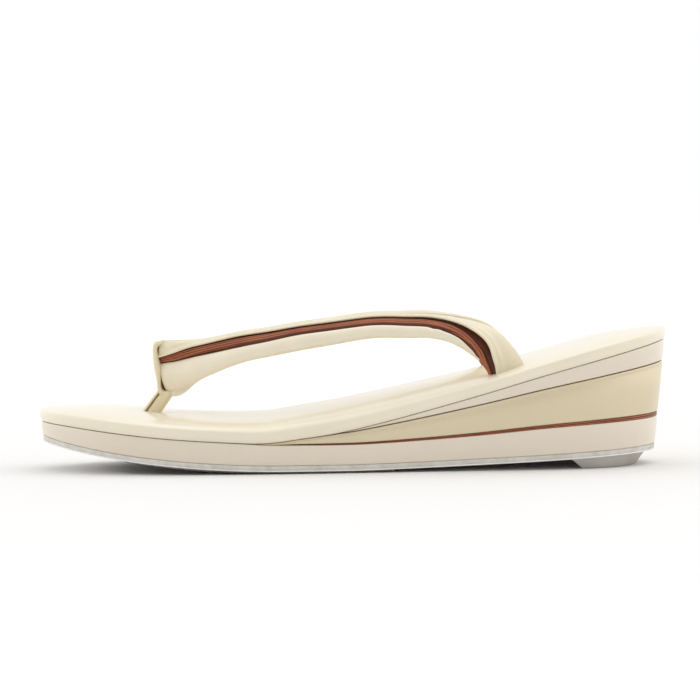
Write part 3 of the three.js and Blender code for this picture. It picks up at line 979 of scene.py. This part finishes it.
    def section(self, part: Part, turn: float, step: float, side: int) -> tuple:
        """A point of a part's cross-section.

        Args:
            part: which part.
            turn: angle round the section; 0 is its upper edge, a quarter turn is its face.
            step: place along the strap.
            side: which strap.

        Returns:
            Share of the half width across, and millimetres out of the middle plane.
        """
        half = self.half_thick(step)
        low, high = self.span(part, step)
        sin = math.sin(turn)
        across = lerp(low, high, (math.cos(turn) + 1) / 2)
        face = half * max(0.0, 1 - across * across) ** self.crown_power
        if part is Part.FOLD:
            return across, self.fold(across, turn, face, step, side)
        if part is Part.LINING:
            return across, -(self.lining_face if sin > 0 else self.lining_back) * abs(sin) ** self.under_power * half
        if sin < 0:
            return across, -abs(sin) ** self.under_power * half * self.under_share
        if part is Part.ROLL:
            fullness = min(self.roll_fullest, (high - low) / self.roll_span) * sin * sin
            lifted = face + self.roll_full * fullness + self.wrinkles(step, across, side) * sin
            return across, lifted * sin ** self.edge_power
        if part is Part.PIPING:
            sheet = face + self.pleats((across - low) / (high - low), step)
        else:
            white, cream = self.white(step), self.at("cream", step)
            from_lip = (across - cream) * self.half_wide(step)
            sheet = face + self.inside((across - white) / (cream - white), from_lip, step)
        return across, lerp(-half * self.copper_back, sheet, sin ** self.copper_power)

    def fold(self, across: float, turn: float, face: float, step: float, side: int) -> float:
        """Height of the fold: a padded face whose lower edge is a lip over the copper.

        Args:
            across: place across the strap.
            turn: angle round the section.
            face: height of the strap's rounded face.
            step: place along the strap.
            side: which strap.

        Returns:
            Millimetres out of the middle plane.
        """
        cos, sin = math.cos(turn), math.sin(turn)
        from_lip = (across - self.at("cream", step)) * self.half_wide(step)
        raised = (self.fold_step + self.fold_rear(step)) * (1 - self.fold_slope(from_lip))
        top = face + raised + self.lip(from_lip) - self.lip_valley(from_lip)
        if sin >= 0:
            top += self.fold_full * sin * sin + self.wrinkles(step, across, side) * sin
            return top * (sin ** self.edge_power if cos > 0 else 1.0)
        flap = top - self.flap - self.lip.height
        under = lerp(flap, -self.half_thick(step) * self.under_share, self.flap_tucks(from_lip))
        return lerp(top, under, abs(sin) ** self.flap_power) if cos < 0 else under * abs(sin) ** self.under_power

    def tube(self, part: Part, side: int) -> BMesh:
        """One sewn part of a strap as a closed tube.

        Args:
            part: which part.
            side: which strap.

        Returns:
            The closed bmesh.
        """
        mesh = ringed_tube(self.around, self.rings)
        last = self.roll_end if part is Part.ROLL else 1.0
        frames = {}
        for vertex in mesh.verts:
            step = last * (vertex.co.z + 1) / 2
            key = round(step, 6)
            if key not in frames:
                frames[key] = (self.middle(step, side), *self.frame(step, side), self.half_wide(step))
            middle, across_way, out_way, half_wide = frames[key]
            across, out = self.section(part, math.atan2(vertex.co.y, vertex.co.x), step, side)
            slanted = clamp((self.slant_from - across) / (1 + self.slant_from)) * (1 - self.slant_fades(step))
            vertex.co = (middle + across_way * (across * half_wide) + out_way * out
                         - across_way.cross(out_way) * (side * self.tip_slant * slanted))
        return mesh

    def build(self) -> None:
        """Make and dress both straps."""
        padding = {Part.LINING: STRAP_FOLD, Part.ROLL: STRAP_ROLL, Part.FOLD: STRAP_FOLD}
        # The strip's base takes the darker copper: painted shade in the groove under the strip and in the recess
        # under the fold.
        copper = {Part.PIPING: COPPER_SHEET, Part.BASE: COPPER_PAINTED_SHADE}
        for side, word in ((-1, "left"), (1, "right")):
            for part, finish in padding.items():
                finish_piece(self.tube(part, side), f"strap_{part.value}_{word}", finish, "strap_sheet",
                             ["hanao_straps"])
            for part, finish in copper.items():
                finish_piece(self.tube(part, side), f"strap_{part.value}_{word}", finish, "copper_sheet",
                             [f"strap_piping_{word}"])


@dataclass
class Thong:
    """The front thong: a folded loop round the tip of the V, and a flat post into the sole."""

    sole: Sole
    straps: Straps
    set_back: float = 36.5
    foot_forward: float = 0.9
    seat: float = 3.4
    tip_ends: tuple = (0.0, 0.055)
    tip_samples: tuple = (-0.9, -0.5, 0.0, 0.5, 0.92)
    loop_grid: tuple = (28, 120)
    loop_width: float = 9
    loop_wall: float = 2.2
    waist: float = 3.4
    narrows: Ramp = Ramp(-0.8, 0.0)
    snug: float = 0.8
    edge_power: float = 0.6
    face_full: float = 0.12
    face_wave: float = 2.6
    top_wall: float = 1.0
    top_dip: float = 1.6
    # How square the loop's corners are: low in front, high in front, and behind.
    corners: tuple = (5, 3.2, 2.2)
    corner_turns: Ramp = Ramp(-0.3, 0.3)
    near_end: Ramp = Ramp(0.3, 0.9)
    over_top: Ramp = Ramp(-0.9, -0.4)
    under_tip: Ramp = Ramp(-0.5, 0.1)
    bend_fades: Ramp = Ramp(-0.3, 0.4)
    bend: SmoothTable = SmoothTable((-1.0, 0.8), (-0.8, 1.0), (-0.43, 1.1), (-0.07, 0.6), (0.3, 0.1), (0.64, -0.5),
                                    (1.0, -0.5))
    end_grid: tuple = (32, 24)
    end_shorter: float = 0.4
    end_top: float = 0.84
    end_set_back: float = 0.7
    end_halves: tuple = (0.9, 2.5)
    end_power: float = 4
    post_grid: tuple = (36, 30)
    post_length: float = 7
    post_width: float = 8
    post_flare: tuple = (1.2, 1.05)
    post_power: float = 3
    head_over: float = 0.4
    head_share: float = 0.4

    def __post_init__(self) -> None:
        """Work out the loop's leaning box from the tip of the V."""
        straps, gap = self.straps, self.sole.gap
        middles = [straps.middle(step, 1) for step in self.tip_ends]
        halves = [straps.half_wide(step) for step in self.tip_ends]
        self.top = max(m.z + h for m, h in zip(middles, halves)) + gap
        self.bottom = min(m.z - h for m, h in zip(middles, halves)) - gap
        self.level = (self.top + self.bottom) / 2
        across_way, out_way = straps.frame(self.tip_ends[0], 1)
        self.slope = across_way.x / across_way.z
        thickness = straps.half_thick(self.tip_ends[0])
        ends = [middles[0] + across_way * (across * halves[0])
                + out_way * (out * thickness * (1 - across ** 2) ** straps.crown_power)
                for across in self.tip_samples for out in (-1, 1)]
        self.front = min(end.x - self.slope * (end.z - self.level) for end in ends) - gap
        self.back = middles[1].x - self.slope * (middles[1].z - self.level)
        foot_x = self.set_back - self.foot_forward - self.sole.length / 2
        self.foot = Vector((foot_x, 0, self.sole.core_top(self.sole.station(foot_x)) - self.seat))
        head = self.bottom + self.head_over
        head_x = lerp(self.front, self.back, self.head_share) + self.slope * (head - self.level)
        self.head = Vector((head_x, 0, head))

    def loop(self) -> BMesh:
        """The loop: wide and flat in front, over and under the tip, narrow between the straps."""
        mesh = bmesh.new()
        ring = 2.0
        around, steps = self.loop_grid
        turned = Matrix.Translation((ring, 0, 0)) @ Matrix.Rotation(math.pi / 2, 4, "X")
        bmesh.ops.create_circle(mesh, cap_ends=False, segments=around, radius=1.0, matrix=turned)
        bmesh.ops.spin(mesh, geom=list(mesh.verts) + list(mesh.edges), cent=(0, 0, 0), axis=(0, 0, 1), dvec=(0, 0, 0),
                       angle=2 * math.pi, steps=steps, use_merge=True, use_duplicate=False)
        wall, thin = self.loop_wall / 2, self.top_wall / 2
        centre = (self.front + self.back) / 2
        reach_x = (self.back - self.front) / 2 + wall
        reach_z = (self.top - self.bottom) / 2 + wall
        low, high, behind = self.corners
        for vertex in mesh.verts:
            x, y, z = vertex.co
            turn = math.atan2(y, x)
            tube = math.atan2(z, math.hypot(x, y) - ring)
            cos, sin = math.cos(turn), math.sin(turn)
            corner = lerp(lerp(low, high, self.corner_turns(sin)), behind, self.corner_turns(cos))
            flat, plumb = squircle(turn, corner)
            half_width = lerp(self.loop_width, self.waist, self.narrows(cos)) / 2
            across = signed_power(math.sin(tube), self.edge_power) * half_width
            outward = signed_power(math.cos(tube), self.edge_power) * wall
            if outward > 0:
                outward += self.face_full * math.cos(across * self.face_wave)
            else:
                outward -= self.snug * abs(math.cos(tube))
            over = self.near_end(sin) * self.over_top(cos)
            if outward > 0:
                outward = lerp(outward, outward * thin / wall + thin - wall, over)
            scale = 1 + outward / math.hypot(reach_x * flat, reach_z * plumb)
            under = self.near_end(-sin) * self.under_tip(cos)
            up = reach_z * plumb * scale - self.top_dip * (over - under)
            lean = self.slope * up + self.bend(up / reach_z) * (1 - self.bend_fades(cos))
            vertex.co = Vector((centre + reach_x * flat * scale + lean, across, self.level + up))
        return mesh

    def gathered_end(self) -> BMesh:
        """The copper sheet's gathered end inside the loop, in the darker copper that paints the shade of the slit
        beside it.
        """
        mesh = ringed_tube(*self.end_grid)
        thick, wide = self.end_halves
        half_height = (self.top - self.bottom) / 2 - self.end_shorter
        for vertex in mesh.verts:
            out, across = squircle(math.atan2(vertex.co.y, vertex.co.x), self.end_power)
            up = half_height * lerp(-1.0, self.end_top, (vertex.co.z + 1) / 2)
            x = self.front + self.end_set_back + thick * out + self.slope * up + self.bend(vertex.co.z)
            vertex.co = Vector((x, wide * across, self.level + up))
        return mesh

    def bar(self, low: float, high: float, narrower: float) -> BMesh:
        """One fold of the post, from the sole to the loop.

        Args:
            low: its front edge, as a share of the post's length from -1 to 1.
            high: its back edge.
            narrower: how much less wide than the post it is.

        Returns:
            The closed bmesh.
        """
        mesh = ringed_tube(*self.post_grid)
        for vertex in mesh.verts:
            share = (vertex.co.z + 1) / 2
            flat, wide = squircle(math.atan2(vertex.co.y, vertex.co.x), self.post_power)
            along = lerp(low, high, (flat + 1) / 2) * self.post_length * lerp(*self.post_flare, share) / 2
            across = wide * (self.post_width / 2 - narrower)
            vertex.co = self.foot.lerp(self.head, share) + Vector((along, across, 0))
        return mesh

    def build(self) -> None:
        """Make and dress the thong."""
        finish_piece(self.loop(), "thong_loop", THONG_SHEET, "strap_sheet", ["front_thong"])
        # The gathered end is in the darker copper: painted shade for the slit beside the loop.
        finish_piece(self.gathered_end(), "thong_gathered_end", COPPER_PAINTED_SHADE, "copper_sheet", ["front_thong"])
        finish_piece(self.bar(-1.0, -0.6, 0.2), "thong_post_front_fold", THONG_SHEET, "strap_sheet", ["front_thong"])
        finish_piece(self.bar(-0.64, 1.0, 0.0), "thong_post", THONG_SHEET, "strap_sheet", ["front_thong"])


@dataclass
class Dents:
    """Where the footbed's padding is drawn down by the thong and the straps' feet."""

    thong: Thong
    straps: Straps
    at_thong: Swell = Swell(1.3, 0.0, 9)
    at_foot: Swell = Swell(1.6, 0.0, 11)
    hole_share: float = 0.66
    foot_step: float = 0.93

    def __call__(self, x: float, y: float) -> float:
        """Depth of the dents.

        Args:
            x: place along the sole.
            y: place across it.

        Returns:
            Millimetres.
        """
        hole = self.thong.foot.lerp(self.thong.head, self.hole_share)
        feet = [self.straps.middle(self.foot_step, side) for side in (-1, 1)]
        depth = self.at_thong(math.hypot(x - hole.x, y))
        return depth + sum(self.at_foot(math.hypot(x - foot.x, y - foot.y)) for foot in feet)


@dataclass
class Studio:
    """The camera at the photograph's angle, a pale backdrop and soft light."""

    distance: float = 1250
    camera_height: float = 100
    camera_x: float = -0.9
    focal_pixels: float = 3262
    frame_pixels: float = 700
    sensor: float = 36
    near: float = 0.05
    pitch: float = 2.553
    roll: float = -0.6
    floor_size: float = 12
    # Floor colour by distance from the sandal: darker near it as painted shade, paler far off.
    floor_fades: tuple = (0.1, 1.4)
    floor_shade_tones: tuple = ("EBEAE9", "FBFBFA")
    floor_roughness: float = 0.9
    sun_from: tuple = (0.2, 0.3, 1.0)
    sun_spread: float = 60
    sun_power: float = 0.47
    camera_side: float = 0.56
    camera_side_fades: tuple = (-1.0, -0.3)
    side_glow: float = 0.5
    side_glow_from: float = 0.4

    def camera(self) -> None:
        """Place the camera."""
        data = bpy.data.cameras.new("photo_camera")
        data.sensor_width = self.sensor
        data.lens = self.focal_pixels * self.sensor / self.frame_pixels
        data.clip_start = self.near
        eye = bpy.data.objects.new("photo_camera", data)
        turn = (Matrix.Rotation(math.radians(90 - self.pitch), 4, "X")
                @ Matrix.Rotation(math.radians(self.roll), 4, "Z"))
        place = Vector((self.camera_x, -self.distance, self.camera_height)) * MM
        eye.matrix_world = Matrix.Translation(place) @ turn
        bpy.context.scene.collection.objects.link(eye)
        bpy.context.scene.camera = eye

    def backdrop(self) -> None:
        """A near-white floor, darker round the sandal as painted shade and paler further off."""
        mesh = bmesh.new()
        bmesh.ops.create_grid(mesh, x_segments=8, y_segments=8, size=self.floor_size)
        data = bpy.data.meshes.new("studio_floor")
        mesh.to_mesh(data)
        mesh.free()
        paper = bpy.data.materials.new("matt_backdrop_paper")
        paper.use_nodes = True
        tree = paper.node_tree
        shader = tree.nodes["Principled BSDF"]
        place = add_node(tree, "TexCoord").outputs["Object"]
        away = add_node(tree, "VectorMath", links={0: place}, operation="LENGTH").outputs["Value"]
        fades = dict(zip(("From Min", "From Max"), self.floor_fades))
        reach = add_node(tree, "MapRange", fades, {"Value": away})
        tone = add_node(tree, "ValToRGB", links={"Fac": reach.outputs["Result"]})
        for stop, code in zip(tone.color_ramp.elements, self.floor_shade_tones):
            stop.color = linear(code)
        tree.links.new(tone.outputs["Color"], shader.inputs["Base Color"])
        shader.inputs["Roughness"].default_value = self.floor_roughness
        data.materials.append(paper)
        floor = bpy.data.objects.new("studio_floor", data)
        bpy.context.scene.collection.objects.link(floor)

    def softbox(self) -> None:
        """Wide soft light from above."""
        data = bpy.data.lights.new("overhead_softbox", "SUN")
        data.angle = math.radians(self.sun_spread)
        data.energy = self.sun_power
        lamp = bpy.data.objects.new("overhead_softbox", data)
        lamp.location = self.sun_from
        lamp.rotation_euler = Vector(self.sun_from).to_track_quat("Z", "Y").to_euler()
        bpy.context.scene.collection.objects.link(lamp)

    def surroundings(self) -> None:
        """White surroundings, dimmer on the side that the camera looks from and brighter at both ends."""
        world = bpy.data.worlds.new("studio_white")
        world.use_nodes = True
        tree = world.node_tree
        direction = add_node(tree, "TexCoord").outputs["Generated"]
        parts = add_node(tree, "SeparateXYZ", links={"Vector": direction})
        low, high = self.camera_side_fades
        dimming = add_node(tree, "MapRange",
                           {"From Min": low, "From Max": high, "To Min": self.camera_side, "To Max": 1.0},
                           {"Value": parts.outputs["Y"]})
        sideways = add_node(tree, "Math", links={0: parts.outputs["X"]}, operation="ABSOLUTE")
        side_glow = add_node(tree, "MapRange",
                             {"From Min": self.side_glow_from, "To Min": 0.0, "To Max": self.side_glow},
                             {"Value": sideways.outputs["Value"]})
        total = add_node(tree, "Math", links={0: dimming.outputs["Result"], 1: side_glow.outputs["Result"]},
                         operation="ADD")
        background = tree.nodes["Background"]
        background.inputs["Color"].default_value = linear("FFFFFF")
        tree.links.new(total.outputs["Value"], background.inputs["Strength"])
        bpy.context.scene.world = world

    def build(self) -> None:
        """Set the camera, floor, lights and tone."""
        self.camera()
        self.backdrop()
        self.softbox()
        self.surroundings()
        bpy.context.scene.view_settings.view_transform = "Standard"


def main() -> None:
    """Build the studio and the sandal."""
    logging.basicConfig(level=logging.INFO, format="%(name)s %(message)s")
    Studio().build()
    sole = Sole()
    straps = Straps(sole)
    thong = Thong(sole, straps)
    sole.build(Dents(thong, straps))
    straps.build()
    thong.build()


if __name__ == "__main__":
    main()
